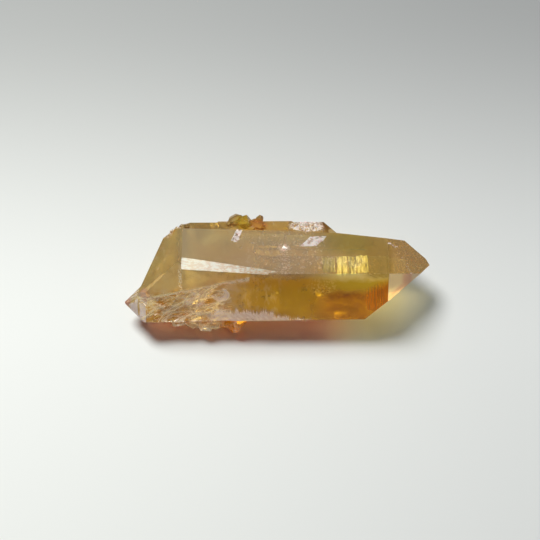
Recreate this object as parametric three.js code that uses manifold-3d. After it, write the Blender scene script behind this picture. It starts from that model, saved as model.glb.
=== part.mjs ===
// A golden aura quartz cluster, lying on its side: one long quartz crystal that ends in a point,
// a broader crystal grown into it, a third behind them, a small point at the lower left, small
// crystals along the back ridge and rough lumps under the front edge.
//
// Millimetres, +Z up. X runs along the long crystal towards its point, -Y faces the viewer, and
// the origin is at the middle of the footprint, on the surface that the cluster lies on.
//
// Every crystal has the same habit: a six-sided prism, closed at each end by six sloping end faces,
// one over each prism face. The large ones grew parallel, so they share all their angles.

import * as THREE from 'three';
import { ConvexGeometry } from 'three/addons/geometries/ConvexGeometry.js';
import { mergeVertices } from 'three/addons/utils/BufferGeometryUtils.js';
import Module from 'manifold-3d';

const wasm = await Module();
wasm.setup();

// Which way each prism face looks, in degrees up from the viewer's side of the prism.
const FACE_DIRECTION = { top: 90, front: 30, lowFront: -30, base: -90, lowBack: -150, back: 150 };

// Angle in degrees between an end face's normal and the length of the crystal.
const END_FACE_ANGLE = 51;

// Two points closer than this, in mm, are one corner.
const SAME_POINT = 1e-4;

// The sizes below are laid out about the long crystal's axis, which runs at this Y and Z.
const AXIS = [0, 10];

// Where the top face meets the front face: the long edge that crosses the middle of the cluster.
const MIDDLE_EDGE = new THREE.Vector3(0, -5.6, 19.5);

// For each prism face, reach is its distance from the axis at X = 0, or [distance, taper in degrees
// towards +X]. right and left are the X at which each end face cuts its prism face.

// The long crystal, whose right end is the specimen's point. Its back narrows towards the point.
const LONG_CRYSTAL = {
  axis: AXIS,
  reach: { top: 9.5, front: 9.6, lowFront: [12.25, 0.85], base: 10, lowBack: 10.5, back: [12.1, 6.2] },
  right: { top: 28.5, front: 28.5, lowFront: 22.7, base: 29, lowBack: 29.5, back: 33.2 },
  left: { top: -2, front: -20, lowFront: -24, base: -20, lowBack: -20, back: -4 },
  facets: [{ through: [16.4, 6.5, 19.5], facing: [0.025, 0.866, 0.5] }],
};

// The broad crystal shares the long one's front face, stands higher and slopes down into it. A
// narrow facet planes off its upper front edge, and a steep one its left side.
const BROAD_CRYSTAL = {
  axis: AXIS,
  reach: { top: [9.6, 6], front: 9.6, lowFront: [12.25, 0.85], base: 10, lowBack: 10.5, back: [11, 1.2] },
  right: { top: 6, front: 8, lowFront: 8, base: 8, lowBack: 8, back: 6 },
  left: { top: -24.2, front: -33.4, lowFront: -31, base: -27, lowBack: -24, back: -26.4 },
  facets: [
    { through: [-24, -5.3, 20.4], facing: [0.036, -0.5, 0.866] },
    { through: [-32.4, 2.4, 11], facing: [-0.911, 0.357, 0.206] },
  ],
};

// Left of the narrow facet, the broad crystal's upper front edge is planed off further back.
const LEFT_SHOULDER = {
  through: [-24.8, -2.3, 22.2],
  facing: [-0.034, -0.773, 0.634],
  rightSide: -24.3,
  rightSideFacing: [0.98, -0.1, 0.1],
};

// The parallel crystal that stands out behind the other two.
const BACK_CRYSTAL = {
  axis: [7.3, 10],
  reach: { top: 7, front: 7, lowFront: 7, base: 7, lowBack: 7.4, back: [7, -0.3] },
  right: { top: 11.9, front: 10, lowFront: 11, base: 12, lowBack: 9, back: 12.2 },
  left: { top: -22.8, front: -20, lowFront: -20, base: -20, lowBack: -18, back: -22.8 },
};

// The small point at the lower left, whose end faces are a little blunter.
const SMALL_POINT = {
  axis: [-6.7, 6.3],
  reach: { top: 4.6, front: 5.6, lowFront: 5.1, base: 5.2, lowBack: 4.6, back: 4.4 },
  right: { top: -24, front: -24, lowFront: -24, base: -24, lowBack: -24, back: -24 },
  left: { top: -34.9, front: -33.9, lowFront: -34.5, base: -34, lowBack: -35, back: -35.2 },
  endAngle: 47,
};

// Thin later layers of quartz over the hidden faces. Their ends are the ledges on those faces. The
// rest of a layer stays under the surface, and its end faces start at slightly staggered X.
const LATER_LAYERS = [
  { over: LONG_CRYSTAL, from: -17, to: 9, thicker: { lowBack: 0.5 } },
  { over: LONG_CRYSTAL, from: 2, to: 24, thicker: { lowBack: 0.25 } },
  { over: BACK_CRYSTAL, from: -14, to: 3, thicker: { back: 0.35, lowBack: 0.55, base: 0.3 } },
];
const UNDER_THE_SURFACE = 2;
const LEDGE_STAGGER = 1.5;

// Small crystals grown onto the large ones: middle, the way the length points, radius and length.
const RIDGE_CRYSTALS = [
  { at: [-10.9, 11.9, 17.4], along: [0.9, 0.36, 0.34], radius: 1.15, length: 4.6, spin: 24 },
  { at: [-8, 10.9, 17.1], along: [0.42, -0.5, 0.76], radius: 1.9, length: 4.8, spin: 18 },
  { at: [-5, 10.7, 16.8], along: [1, -0.42, -0.08], radius: 1.25, length: 5.4, spin: 40 },
  { at: [-4.5, 11.9, 17.6], along: [0.1, 0.42, 0.9], radius: 0.8, length: 3, spin: 8 },
  { at: [-6.6, 9.7, 16.9], along: [1, 0.2, 0.2], radius: 0.75, length: 3, spin: 40 },
  { at: [-12.6, 10.9, 16.9], along: [0.9, 0.3, 0.2], radius: 0.7, length: 2.4, spin: 21 },
];

const CHIPPED_CORNER_GRAINS = [
  { at: [-24.6, 9.4, 17.6], along: [0.7, 0.4, 0.6], radius: 0.8, length: 2.6, spin: 17 },
  { at: [-26, 8.7, 17.8], along: [0.9, -0.3, 0.4], radius: 0.7, length: 2.1, spin: 50 },
  { at: [-27.3, 8.1, 17.5], along: [0.3, 0.7, 0.5], radius: 0.6, length: 1.8, spin: 3 },
  { at: [-23.6, 10.2, 16.9], along: [0.5, 0.8, 0.2], radius: 0.7, length: 2, spin: 33 },
];

const BACK_TOP_DRUSE = [
  { at: [4.6, 10.6, 16.8], along: [1, 0.2, 0.1], radius: 0.55, length: 2.4, spin: 9 },
  { at: [6.3, 9.6, 16.8], along: [0.8, -0.5, 0.2], radius: 0.6, length: 2.2, spin: 41 },
  { at: [7.6, 10.7, 16.7], along: [1, -0.1, 0.1], radius: 0.7, length: 2.6, spin: 25 },
  { at: [9.1, 9.5, 16.8], along: [0.7, 0.6, 0.2], radius: 0.5, length: 1.9, spin: 13 },
  { at: [10.4, 10.4, 16.6], along: [1, 0.4, 0.2], radius: 0.6, length: 2.1, spin: 52 },
  { at: [2.4, 9.7, 16.8], along: [0.9, 0.3, 0.1], radius: 0.5, length: 1.8, spin: 36 },
];

// Broken lumps of quartz under the front edge: middle, half-lengths along X, Y and Z, and turn in
// degrees about Y. start is where the ring of corners begins.
const FRONT_LUMPS = [
  { at: [-25.2, -10.7, 4.9], size: [2.9, 2.6, 1.8], turn: 8, start: 0.4 },
  { at: [-22.2, -10.8, 4.4], size: [3, 2.9, 2.2], turn: 14, start: 2.1 },
  { at: [-18.9, -11, 4.1], size: [3.1, 3, 2.4], turn: -6, start: 4 },
  { at: [-16.1, -10.9, 4.1], size: [2.8, 3, 2.3], turn: 10, start: 1.2 },
  { at: [-13.6, -10.8, 4.6], size: [2.2, 2.4, 1.9], turn: -12, start: 5.2 },
];
const LUMP_CORNERS = 18;
const LUMP_ROUGHNESS = 0.16;

const ORANGE_CRYSTAL = { at: [-10.9, -11.5, 4.1], along: [1, 0.08, 0.1], radius: 2.35, length: 6.8, spin: 8 };

const HIDDEN_SIDE_CRYSTALS = [
  { at: [-16.4, 12.2, 6.2], along: [1, 0.1, 0.15], radius: 2.2, length: 8.4, spin: 16 },
  { at: [-11.8, 12.9, 5.2], along: [0.9, -0.2, 0.4], radius: 1.5, length: 5, spin: 44 },
  { at: [-20.2, 11.3, 7.8], along: [0.6, 0.7, 0.5], radius: 1.2, length: 3.8, spin: 7 },
  { at: [6.4, 12.6, 5.4], along: [1, 0.05, -0.1], radius: 1.6, length: 6.4, spin: 28 },
  { at: [9.6, 12.2, 6.8], along: [0.5, 0.6, 0.7], radius: 0.9, length: 2.8, spin: 51 },
  { at: [17.6, 6.6, 3.6], along: [1, 0.1, 0], radius: 1.8, length: 7.2, spin: 11 },
];

// Shell-shaped scars on the lower left of the front face: X, the distance down from the middle edge,
// depth, length, width and the angle of the length in the face, in degrees up from X.
const FRONT_SCARS = [
  { x: -24.4, down: 11.4, depth: 0.75, length: 9.5, width: 6.4, turn: 22 },
  { x: -19.4, down: 9.8, depth: 0.5, length: 8, width: 4.4, turn: 28 },
  { x: -14.8, down: 6.4, depth: 0.35, length: 5, width: 3.2, turn: -12 },
  { x: -28.8, down: 8, depth: 0.45, length: 6.4, width: 3.6, turn: 14 },
  { x: -29.6, down: 12.4, depth: 0.6, length: 5.8, width: 4.4, turn: -35 },
  { x: -19.6, down: 13.6, depth: 0.5, length: 7.4, width: 3.8, turn: 8 },
  { x: -7.6, down: 15, depth: 0.35, length: 6, width: 3, turn: 4 },
  { x: 9.2, down: 15.1, depth: 0.25, length: 3.4, width: 2, turn: 0 },
];

// A broad flake came off above them. It ends upwards in a step along a line from one point to the
// other, each given by X and the distance down from the middle edge.
const BROAD_FLAKE = {
  scar: { x: -18.4, down: 7.6, depth: 0.55, length: 19, width: 11, turn: 14 },
  step: [[-24.8, 5.8], [-7, 1.6]],
};

// Hollows under the cluster, away from the middle of its base.
const BASE_HOLLOWS = [
  { x: -15.5, y: 1.2, depth: 0.5, length: 9, width: 5.6, turn: 15 },
  { x: 18.2, y: -3.4, depth: 0.4, length: 7, width: 4.8, turn: -25 },
  { x: 12.4, y: 2.6, depth: 0.3, length: 5, width: 3.2, turn: 40 },
];

// Imprints of small crystals in the top faces.
const TOP_IMPRINTS = [
  { at: [-10.3, 4.3, 21.7], along: [0.5, 0.86, -0.05], radius: 1.35, length: 5.4, spin: 0 },
  { at: [-9.2, 1.6, 20.95], along: [0.6, 0.8, -0.02], radius: 0.5, length: 1.8, spin: 0 },
  { at: [10.2, 4.4, 20.5], along: [0.92, 0.38, -0.02], radius: 1.3, length: 6.4, spin: 0 },
  { at: [1.8, 2.2, 20.1], along: [0.8, -0.5, 0.05], radius: 0.75, length: 3, spin: 10 },
];

// Triangle count of a scar's sphere grows with the square of this.
const SCAR_FINENESS = 9;

// How far a small crystal's faces and its two ends differ from one another, as shares of its radius.
const UNEVEN_FACES = 1 / 8;
const UNEVEN_RIGHT_END = 1 / 6;
const UNEVEN_LEFT_END = 1 / 5;

// A step in radians between neighbours that keeps a row of them from repeating.
const GOLDEN_ANGLE = Math.PI * (3 - Math.sqrt(5));

// Direction square to the length of the crystal, at an angle up from the viewer's side.
function sideways(degrees) {
  const angle = THREE.MathUtils.degToRad(degrees);
  return new THREE.Vector3(0, -Math.cos(angle), Math.sin(angle));
}

// A direction that leans from sideways towards +X by some degrees.
function leaning(direction, degrees) {
  const angle = THREE.MathUtils.degToRad(degrees);
  return direction.clone().multiplyScalar(Math.cos(angle)).add(new THREE.Vector3(Math.sin(angle), 0, 0));
}

// Point on the front face, or above it by some height.
function onFrontFace(x, down, height = 0) {
  const downward = sideways(FACE_DIRECTION.front - 90);
  const point = MIDDLE_EDGE.clone().addScaledVector(downward, down);
  point.x = x;
  return point.addScaledVector(sideways(FACE_DIRECTION.front), height);
}

// Distance from the crystal's axis to a prism face, measured at a given X.
function reachAt(face, x) {
  return face.distance - x * Math.tan(THREE.MathUtils.degToRad(face.taper));
}

function prismPlane(axis, name, face) {
  const side = sideways(FACE_DIRECTION[name]);
  const onFace = axis.clone().addScaledVector(side, face.distance);
  return new THREE.Plane().setFromNormalAndCoplanarPoint(leaning(side, face.taper), onFace);
}

// end is +1 for the right end and -1 for the left. The end face cuts its prism face at startX.
function endPlane(axis, name, face, end, startX, angle) {
  const side = sideways(FACE_DIRECTION[name]);
  const onEdge = axis.clone().addScaledVector(side, reachAt(face, startX));
  onEdge.x = startX;
  const normal = leaning(side, end * (90 - angle));
  return new THREE.Plane().setFromNormalAndCoplanarPoint(normal, onEdge);
}

// A plane from a point on it and the way that it faces.
function planeThrough(point, facing) {
  const normal = new THREE.Vector3(...facing).normalize();
  return new THREE.Plane().setFromNormalAndCoplanarPoint(normal, new THREE.Vector3(...point));
}

// Point where three planes meet, or null where they don't. line is the first two's shared line.
function meetingPoint(first, second, third, line) {
  const spread = line.dot(third.normal);
  if (Math.abs(spread) < SAME_POINT) {
    return null;
  }
  const sum = line.clone().multiplyScalar(-third.constant);
  sum.addScaledVector(second.normal.clone().cross(third.normal), -first.constant);
  sum.addScaledVector(third.normal.clone().cross(first.normal), -second.constant);
  return sum.divideScalar(spread);
}

// Corners of the convex solid that lies behind every one of the planes.
function cornersBehind(planes) {
  const corners = [];
  for (let i = 0; i < planes.length; i += 1) {
    for (let j = i + 1; j < planes.length; j += 1) {
      const line = planes[i].normal.clone().cross(planes[j].normal);
      for (let k = j + 1; k < planes.length; k += 1) {
        const corner = meetingPoint(planes[i], planes[j], planes[k], line);
        const inside = corner && planes.every((plane) => plane.distanceToPoint(corner) < SAME_POINT);
        const known = inside && corners.some((other) => other.distanceTo(corner) < SAME_POINT);
        if (inside && !known) {
          corners.push(corner);
        }
      }
    }
  }
  return corners;
}

// A closed three.js geometry as a solid that can be joined and cut.
function solid(geometry) {
  const bare = new THREE.BufferGeometry();
  bare.setAttribute('position', geometry.getAttribute('position'));
  if (geometry.index) {
    bare.setIndex(geometry.index);
  }
  const merged = mergeVertices(bare, SAME_POINT);
  return new wasm.Manifold(
    new wasm.Mesh({
      numProp: 3,
      vertProperties: new Float32Array(merged.getAttribute('position').array),
      triVerts: new Uint32Array(merged.index.array),
    }),
  );
}

// The geometry of a solid, ready for a mesh.
function geometryOf(body) {
  const mesh = body.getMesh();
  const geometry = new THREE.BufferGeometry();
  geometry.setAttribute('position', new THREE.BufferAttribute(new Float32Array(mesh.vertProperties), 3));
  geometry.setIndex(new THREE.BufferAttribute(new Uint32Array(mesh.triVerts), 1));
  geometry.computeVertexNormals();
  return geometry;
}

// Geometry of one crystal along X. facets are further planes that truncate it.
function crystalGeometry({ axis, reach, right, left, endAngle = END_FACE_ANGLE, facets = [] }) {
  const centre = new THREE.Vector3(0, axis[0], axis[1]);
  const planes = facets.map(({ through, facing }) => planeThrough(through, facing));
  for (const name of Object.keys(FACE_DIRECTION)) {
    const [distance, taper] = [reach[name], 0].flat();
    const face = { distance, taper };
    planes.push(prismPlane(centre, name, face));
    planes.push(endPlane(centre, name, face, 1, right[name], endAngle));
    planes.push(endPlane(centre, name, face, -1, left[name], endAngle));
  }
  return new ConvexGeometry(cornersBehind(planes));
}

// The same value for every face, with a small change from face to face so that no two are alike.
function uneven(value, change) {
  const names = Object.keys(FACE_DIRECTION);
  return Object.fromEntries(
    names.map((name, i) => [name, value + change * Math.sin(GOLDEN_ANGLE * i + value)]),
  );
}

// A small crystal at any place and angle. spin turns it about its length, in degrees.
function smallCrystal({ at, along, radius, length, spin }) {
  const capLength = radius * Math.tan(THREE.MathUtils.degToRad(END_FACE_ANGLE));
  const shoulder = Math.max(length / 2 - capLength, 0);
  const geometry = crystalGeometry({
    axis: [0, 0],
    reach: uneven(radius, radius * UNEVEN_FACES),
    right: uneven(shoulder, radius * UNEVEN_RIGHT_END),
    left: uneven(-shoulder, radius * UNEVEN_LEFT_END),
  });
  const turned = new THREE.Quaternion().setFromUnitVectors(
    new THREE.Vector3(1, 0, 0),
    new THREE.Vector3(...along).normalize(),
  );
  geometry.rotateX(THREE.MathUtils.degToRad(spin));
  geometry.applyQuaternion(turned);
  geometry.translate(...at);
  return solid(geometry);
}

// A broken lump: the convex stone around corners that are spread over a ball, some further out.
function roughLump({ at, size, turn, start }) {
  const corners = [];
  for (let i = 0; i < LUMP_CORNERS; i += 1) {
    const height = 1 - (2 * i + 1) / LUMP_CORNERS;
    const ring = Math.sqrt(1 - height * height);
    const around = start + i * GOLDEN_ANGLE;
    const corner = new THREE.Vector3(ring * Math.cos(around), ring * Math.sin(around), height);
    corners.push(corner.multiplyScalar(1 + LUMP_ROUGHNESS * Math.sin(start + 2 * around)));
  }
  const geometry = new ConvexGeometry(corners);
  geometry.scale(...size);
  geometry.rotateY(THREE.MathUtils.degToRad(turn));
  geometry.translate(...at);
  return solid(geometry);
}

// A thin layer over a large crystal, thicker than it by some mm on the faces named.
function laterLayer({ over, from, to, thicker }) {
  const reach = Object.entries(over.reach).map(([name, value]) => {
    const [distance, taper] = [value, 0].flat();
    return [name, [distance + (thicker[name] ?? -UNDER_THE_SURFACE), taper]];
  });
  return solid(
    crystalGeometry({
      axis: over.axis,
      reach: Object.fromEntries(reach),
      right: uneven(to, LEDGE_STAGGER),
      left: uneven(from, LEDGE_STAGGER),
    }),
  );
}

// What is planed off the broad crystal's left shoulder.
function shoulderCut() {
  const { through, facing, rightSide, rightSideFacing } = LEFT_SHOULDER;
  const beyond = 12;
  const [x, y, z] = through;
  const outside = facing.map((value) => -value);
  return solid(
    new ConvexGeometry(
      cornersBehind([
        planeThrough(through, outside),
        planeThrough([rightSide, y, z], rightSideFacing),
        planeThrough([x - beyond, y, z], [-1, 0, 0]),
        planeThrough([x, y - beyond, z], [0, -1, 0]),
        planeThrough([x, y, z + beyond], [0, 0, 1]),
      ]),
    ),
  );
}

// A cap of an egg shape that dips into a face. point and facing are the face's, and lengthwise and
// widthwise lie in it.
function scar(point, facing, lengthwise, { depth, length, width, turn }) {
  const roundness = 10;
  const curve = roundness * depth;
  const capWidth = 2 * Math.sqrt(2 * curve * depth - depth * depth);
  const geometry = new THREE.IcosahedronGeometry(curve, SCAR_FINENESS);
  geometry.translate(0, 0, curve - depth);
  geometry.scale(length / capWidth, width / capWidth, 1);
  geometry.rotateZ(THREE.MathUtils.degToRad(turn));
  const widthwise = facing.clone().cross(lengthwise);
  geometry.applyMatrix4(new THREE.Matrix4().makeBasis(lengthwise, widthwise, facing).setPosition(point));
  return solid(geometry);
}

function frontScar({ x, down, ...shape }) {
  const facing = sideways(FACE_DIRECTION.front);
  return scar(onFrontFace(x, down), facing, new THREE.Vector3(1, 0, 0), shape);
}

function baseHollow({ x, y, ...shape }) {
  const facing = sideways(FACE_DIRECTION.base);
  return scar(new THREE.Vector3(x, y, 0), facing, new THREE.Vector3(1, 0, 0), shape);
}

// The broad flake's scar, kept only below the line of its step.
function broadFlake() {
  const [start, end] = BROAD_FLAKE.step.map(([x, down]) => onFrontFace(x, down));
  const stepLine = end.clone().sub(start).normalize();
  const front = sideways(FACE_DIRECTION.front);
  const upward = front.clone().cross(stepLine);
  const reach = 30;
  const corners = [];
  for (const across of [-reach, reach]) {
    for (const height of [-reach, reach]) {
      for (const drop of [0, -reach]) {
        const corner = start.clone().addScaledVector(stepLine, across);
        corners.push(corner.addScaledVector(front, height).addScaledVector(upward, drop));
      }
    }
  }
  return frontScar(BROAD_FLAKE.scar).intersect(solid(new ConvexGeometry(corners)));
}

const joinAll = (solids) => solids.reduce((sum, next) => sum.add(next));

function quartzCluster() {
  const broad = solid(crystalGeometry(BROAD_CRYSTAL)).subtract(shoulderCut());
  const large = [LONG_CRYSTAL, BACK_CRYSTAL, SMALL_POINT].map((sizes) => solid(crystalGeometry(sizes)));
  const layers = LATER_LAYERS.map(laterLayer);
  const scars = [...FRONT_SCARS.map(frontScar), broadFlake(), ...BASE_HOLLOWS.map(baseHollow)];
  const imprints = TOP_IMPRINTS.map(smallCrystal);
  const scarred = joinAll([broad, ...large, ...layers]).subtract(joinAll([...scars, ...imprints]));
  const grown = [...RIDGE_CRYSTALS, ...CHIPPED_CORNER_GRAINS, ...BACK_TOP_DRUSE, ...HIDDEN_SIDE_CRYSTALS];
  const crystals = [...grown, ORANGE_CRYSTAL].map(smallCrystal);
  return joinAll([scarred, ...crystals, ...FRONT_LUMPS.map(roughLump)]);
}

const cluster = new THREE.Mesh(
  geometryOf(quartzCluster()),
  new THREE.MeshStandardMaterial({ color: 0xc89a48, roughness: 0.08, metalness: 0.1 }),
);
cluster.name = 'quartz_cluster';

// The crystals are laid out about the long one's axis, so the footprint's middle is moved to the origin.
cluster.geometry.computeBoundingBox();
const box = cluster.geometry.boundingBox;
cluster.position.set(-(box.min.x + box.max.x) / 2, -(box.min.y + box.max.y) / 2, -box.min.z);

const specimen = new THREE.Group();
specimen.add(cluster);

export default specimen;
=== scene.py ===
# A golden aura quartz cluster on a plain pale floor, seen from above its front face.
#
# Sizes and places are in millimetres, in the cluster's own layout: X runs along the long crystal
# towards its point, Y away from the viewer, Z up, with the long crystal's axis at Y 0 and Z 10. They
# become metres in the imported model's frame where a Blender object takes them.

import math
import random

import bmesh
import bpy
from mathutils import Matrix, Vector, noise


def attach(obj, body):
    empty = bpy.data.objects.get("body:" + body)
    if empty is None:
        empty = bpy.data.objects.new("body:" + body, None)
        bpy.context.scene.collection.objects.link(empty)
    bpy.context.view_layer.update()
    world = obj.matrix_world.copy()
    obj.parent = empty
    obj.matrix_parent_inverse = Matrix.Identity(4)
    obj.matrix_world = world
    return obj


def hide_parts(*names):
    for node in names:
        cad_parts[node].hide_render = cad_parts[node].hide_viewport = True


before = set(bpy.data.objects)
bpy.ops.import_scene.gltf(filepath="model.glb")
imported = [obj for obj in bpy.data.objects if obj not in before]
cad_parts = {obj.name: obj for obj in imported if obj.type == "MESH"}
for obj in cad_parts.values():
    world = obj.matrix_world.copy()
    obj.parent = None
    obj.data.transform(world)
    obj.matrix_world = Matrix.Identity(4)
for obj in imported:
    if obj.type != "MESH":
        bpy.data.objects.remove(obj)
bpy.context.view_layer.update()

MM = 0.001
NODE = "quartz_cluster"

# The photograph is 540 pixels wide. A pixel at the cluster's middle spans this many mm.
PHOTO_PIXELS = 540
MM_PER_PIXEL = 0.2623
CAMERA_DISTANCE = 400
CAMERA_ELEVATION = 60
SENSOR_WIDTH = 36

# Where the camera looks, and the right tip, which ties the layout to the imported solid.
CAMERA_TARGET = Vector((-1.8, 1.37, 9.3))
RIGHT_TIP = Vector((40.04, 2.36, 10.16))

# The long edge between the top and the front face, at X = 0, and the ways out of and down the front.
MIDDLE_EDGE = Vector((0, -5.6, 19.5))
FRONT_OUT = Vector((0, -math.cos(math.radians(30)), math.sin(math.radians(30))))
FRONT_DOWN = Vector((0, -math.sin(math.radians(30)), -math.cos(math.radians(30))))
LOW_FRONT_OUT = Vector((0, -math.cos(math.radians(30)), -math.sin(math.radians(30))))
FRONT_HEIGHT = 14.7
BROAD_TOP_SLOPE = math.tan(math.radians(6))
BAND_OUT = Vector((0.036, -0.5, 0.866))
LEFT_END_OUT = Vector((-0.629, 0, 0.777))
POINT_TOP_OUT = Vector((0.629, 0, 0.777))
POINT_FRONT_OUT = Vector((0.629, -0.673, 0.389))
SMALL_POINT_OUT = Vector((-0.68, -0.63, 0.37))
POINT_START = 28.5

# The chipped left end of the back ridge, and the sugary patch on the back crystal.
SHOULDER = Vector((-27.6, 8, 18.8))
DRUSE = Vector((8, 10.2, 17))

# The shell-shaped curl in the scars: its middle as X and the distance down the front face, and its reach.
CURL = Vector((-14.6, 6.6))
CURL_REACH = Vector((2.3, 1.9))

# The frosted fern along the bottom of the front face, as X and the distance down.
FERN_CORNERS = ((-17, 11), (7, 12.8), (9, 14.3), (-17, 14.3))

QUARTZ_IOR = 1.544

# How often a ray may bounce on its way through the crystal.
LIGHT_BOUNCES = 16

# Face attribute of the cluster's mesh, which the quartz material reads: the blunted edges and the crests of
# broken places, painted pale as partly wear and partly painted highlights.
WORN_AND_GLINT = "worn_and_glint"

UP = Vector((0, 0, 1))


def shift_to_model():
    """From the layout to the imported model's frame, in mm, found from the cluster's pointed end."""
    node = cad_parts[NODE]
    places = (node.matrix_world @ vertex.co for vertex in node.data.vertices)
    tip = max(places, key=lambda place: place.x) / MM
    return tip - RIGHT_TIP


SHIFT = shift_to_model()

# The pieces that the lamp in front lights.
LIT_IN_FRONT = bpy.data.collections.new("lit_in_front")


def place(spot):
    """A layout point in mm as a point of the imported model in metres."""
    return (Vector(spot) + SHIFT) * MM


def on_front(x, down, depth=0):
    """Layout point on the front face, or some depth under it. down is measured from the middle edge."""
    return Vector((x, MIDDLE_EDGE.y, MIDDLE_EDGE.z)) + FRONT_DOWN * down - FRONT_OUT * depth


def on_top(x, back, depth=0):
    """Layout point on the top face, or some depth under it. back is measured from the middle edge."""
    rise = max(0, -x) * BROAD_TOP_SLOPE
    return Vector((x, MIDDLE_EDGE.y + back, MIDDLE_EDGE.z + rise - depth))


def on_point(x, y, depth=0):
    """Layout point on the upper end face of the right point, or some depth under it."""
    drop = (x - POINT_START) * POINT_TOP_OUT.x / POINT_TOP_OUT.z
    return Vector((x, y, MIDDLE_EDGE.z - drop)) - POINT_TOP_OUT * depth


def front_place(spot):
    """A layout point as X, the distance down the front face and the height above it."""
    from_edge = Vector(spot) - MIDDLE_EDGE
    return from_edge.x, from_edge.dot(FRONT_DOWN), from_edge.dot(FRONT_OUT)


def ease(value):
    """0 to 1 with soft ends."""
    value = min(max(value, 0), 1)
    return value * value * (3 - 2 * value)


def link(thing):
    bpy.context.scene.collection.objects.link(thing)
    return thing


def mesh_from(work, name):
    mesh = bpy.data.meshes.new(name)
    work.to_mesh(mesh)
    work.free()
    return mesh


def crystal_piece(name, mesh, material=None):
    """A piece of the cluster, which the lamp in front lights too."""
    if material:
        mesh.materials.append(material)
    piece = link(bpy.data.objects.new(name, mesh))
    LIT_IN_FRONT.objects.link(piece)
    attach(piece, "root")
    return piece


# Camera, light and floor


def make_camera():
    lens = CAMERA_DISTANCE / MM_PER_PIXEL * SENSOR_WIDTH / PHOTO_PIXELS
    data = bpy.data.cameras.new("camera")
    data.lens = lens
    data.sensor_width = SENSOR_WIDTH
    data.clip_start = 0.01
    camera = link(bpy.data.objects.new("camera", data))
    elevation = math.radians(CAMERA_ELEVATION)
    backward = Vector((0, -math.cos(elevation), math.sin(elevation)))
    camera.location = place(CAMERA_TARGET) + backward * CAMERA_DISTANCE * MM
    camera.rotation_mode = "QUATERNION"
    camera.rotation_quaternion = (-backward).to_track_quat("-Z", "Y")
    bpy.context.scene.camera = camera


def softbox(name, spot, size, watts):
    """A round area lamp that faces the cluster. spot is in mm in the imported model's frame."""
    data = bpy.data.lights.new(name, "AREA")
    data.shape = "DISK"
    data.size = size * MM
    data.energy = watts
    lamp = link(bpy.data.objects.new(name, data))
    lamp.location = Vector(spot) * MM
    lamp.rotation_mode = "QUATERNION"
    lamp.rotation_quaternion = (place(CAMERA_TARGET) - lamp.location).to_track_quat("-Z", "Y")
    return lamp


def make_lights():
    """One large lamp above and a little behind. A weaker one in front lights the crystal, not the floor."""
    softbox("key_behind", (-290, 335, 760), 400, 9.6)
    front = softbox("front_above", (-40, -530, 720), 260, 2.8)
    front.light_linking.receiver_collection = LIT_IN_FRONT
    world = bpy.data.worlds.new("studio")
    world.use_nodes = True
    tree = world.node_tree
    direction = add(tree, "ShaderNodeTexCoord").outputs["Generated"]
    height = axes(tree, direction)["Z"]
    ceiling = blend(tree, spread(tree, height, 0.0, 0.9), (0.033, 0.033, 0.033, 1), (0.105, 0.11, 0.105, 1))
    feed(tree, tree.nodes["Background"].inputs["Color"], ceiling)
    bpy.context.scene.world = world


def make_floor():
    mesh = bpy.data.meshes.new("floor")
    reach = 1500 * MM
    below = -0.05 * MM
    corners = [(-reach, -reach, below), (reach, -reach, below), (reach, reach, below), (-reach, reach, below)]
    mesh.from_pydata(corners, [], [(0, 1, 2, 3)])
    floor = link(bpy.data.objects.new("floor", mesh))
    mesh.materials.append(floor_paper())


def floor_paper():
    """Matt paper with painted shade: a little darker behind the cluster and towards its right, and grey far
    away.
    """
    material = bpy.data.materials.new("floor_paper")
    material.use_nodes = True
    tree = material.node_tree
    surface = tree.nodes["Principled BSDF"]
    spot = add(tree, "ShaderNodeTexCoord").outputs["Object"]
    x, y, _ = axes(tree, spot)
    shade = blend(tree, spread(tree, y, -20 * MM, 110 * MM), (0.77, 0.79, 0.755, 1), (0.34, 0.35, 0.34, 1))
    right = spread(tree, x, -90 * MM, 90 * MM)
    shade = blend(tree, right, shade, (0.89, 0.89, 0.91, 1), "MULTIPLY")
    far = spread(tree, vectors(tree, "LENGTH", spot), 120 * MM, 300 * MM)
    feed(tree, surface.inputs["Base Color"], blend(tree, far, shade, (0.26, 0.27, 0.26, 1)))
    surface.inputs["Roughness"].default_value = 0.7
    return material


# Node building


def colour(red, green, blue):
    """A colour given as it reads on screen, 0 to 255, as Blender's linear colour."""
    def linear(value):
        value /= 255
        return value / 12.92 if value <= 0.04045 else ((value + 0.055) / 1.055) ** 2.4
    return (linear(red), linear(green), linear(blue), 1)


def feed(tree, socket, value):
    """Joins another node's output to a socket, or sets the socket's own value."""
    if isinstance(value, bpy.types.NodeSocket):
        tree.links.new(value, socket)
    else:
        socket.default_value = value


def add(tree, kind, settings=None, **inputs):
    """A new node. An input takes a value or another node's output, by its name with _ for a space."""
    node = tree.nodes.new(kind)
    for name, value in (settings or {}).items():
        setattr(node, name, value)
    for name, value in inputs.items():
        feed(tree, node.inputs[name.replace("_", " ")], value)
    return node


def maths(tree, operation, *values):
    node = add(tree, "ShaderNodeMath", {"operation": operation})
    for socket, value in zip(node.inputs, values):
        feed(tree, socket, value)
    return node.outputs[0]


def vectors(tree, operation, first, second=None):
    node = add(tree, "ShaderNodeVectorMath", {"operation": operation})
    feed(tree, node.inputs[0], first)
    if second is not None:
        feed(tree, node.inputs["Scale"] if operation == "SCALE" else node.inputs[1], second)
    return node.outputs["Value" if operation in ("DOT_PRODUCT", "LENGTH") else "Vector"]


def spread(tree, value, low, high, to_low=0.0, to_high=1.0):
    """value mapped softly from one range to another and held inside it."""
    node = add(tree, "ShaderNodeMapRange", {"interpolation_type": "SMOOTHSTEP"})
    names = ("Value", "From Min", "From Max", "To Min", "To Max")
    for name, given in zip(names, (value, low, high, to_low, to_high)):
        feed(tree, node.inputs[name], given)
    return node.outputs["Result"]


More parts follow.
